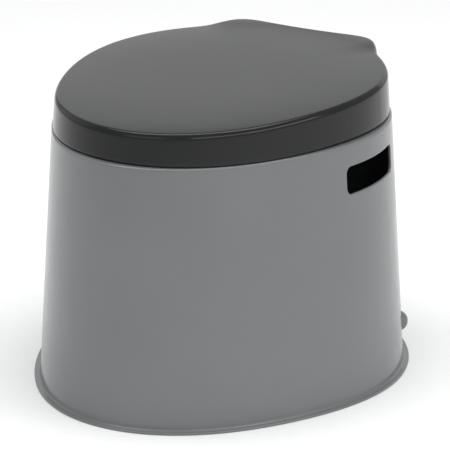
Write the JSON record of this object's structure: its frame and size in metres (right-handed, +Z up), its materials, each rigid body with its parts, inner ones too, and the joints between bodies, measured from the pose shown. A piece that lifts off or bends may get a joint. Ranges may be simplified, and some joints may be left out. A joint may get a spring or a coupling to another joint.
{
  "type": "portable camp toilet",
  "caption": "Free-standing camp toilet: egg-shaped tapered shell with side hand slots, hinged seat and lid, and a lift-out bucket with a wire bail.",
  "frame": {"origin": "on the floor, under the middle of the base flange", "axes": "+X to the sitter's left, the side with the nearer hand slot; +Y to the rear, where the hinge is; +Z up"},
  "size_m": [0.3906, 0.4392, 0.3199],
  "materials": {
    "shell_plastic": "smooth moulded polypropylene, satin to glossy",
    "lid_plastic": "smooth moulded polypropylene, satin top",
    "seat_plastic": "smooth moulded polypropylene",
    "bucket_plastic": "moulded polypropylene",
    "grip_plastic": "ribbed black plastic tube",
    "buffer_rubber": "soft black rubber",
    "bail_steel": "zinc-plated wire"
  },
  "bodies": {
    "base": {"outer_shell": "shell_plastic", "hinge_pin_left": "shell_plastic", "hinge_pin_right": "shell_plastic", "bucket": "bucket_plastic", "bail_wire": "bail_steel", "bail_grip": "grip_plastic"},
    "seat": {"seat_ring": "seat_plastic", "seat_buffer_front_left": "buffer_rubber", "seat_buffer_front_right": "buffer_rubber", "seat_buffer_rear_left": "buffer_rubber", "seat_buffer_rear_right": "buffer_rubber"},
    "cover": {"lid": "lid_plastic", "lid_buffer_front_left": "buffer_rubber", "lid_buffer_front_right": "buffer_rubber", "lid_buffer_rear_left": "buffer_rubber", "lid_buffer_rear_right": "buffer_rubber"}
  },
  "joints": [
    {"name": "seat_hinge", "type": "hinge", "parent": "base", "child": "seat", "pos_m": [0, 0.204, 0.276], "axis": [-1, 0, 0], "range_deg": [0, 95]},
    {"name": "lid_hinge", "type": "hinge", "parent": "seat", "child": "cover", "pos_m": [0, 0.204, 0.276], "axis": [-1, 0, 0], "range_deg": [0, 100]}
  ]
}
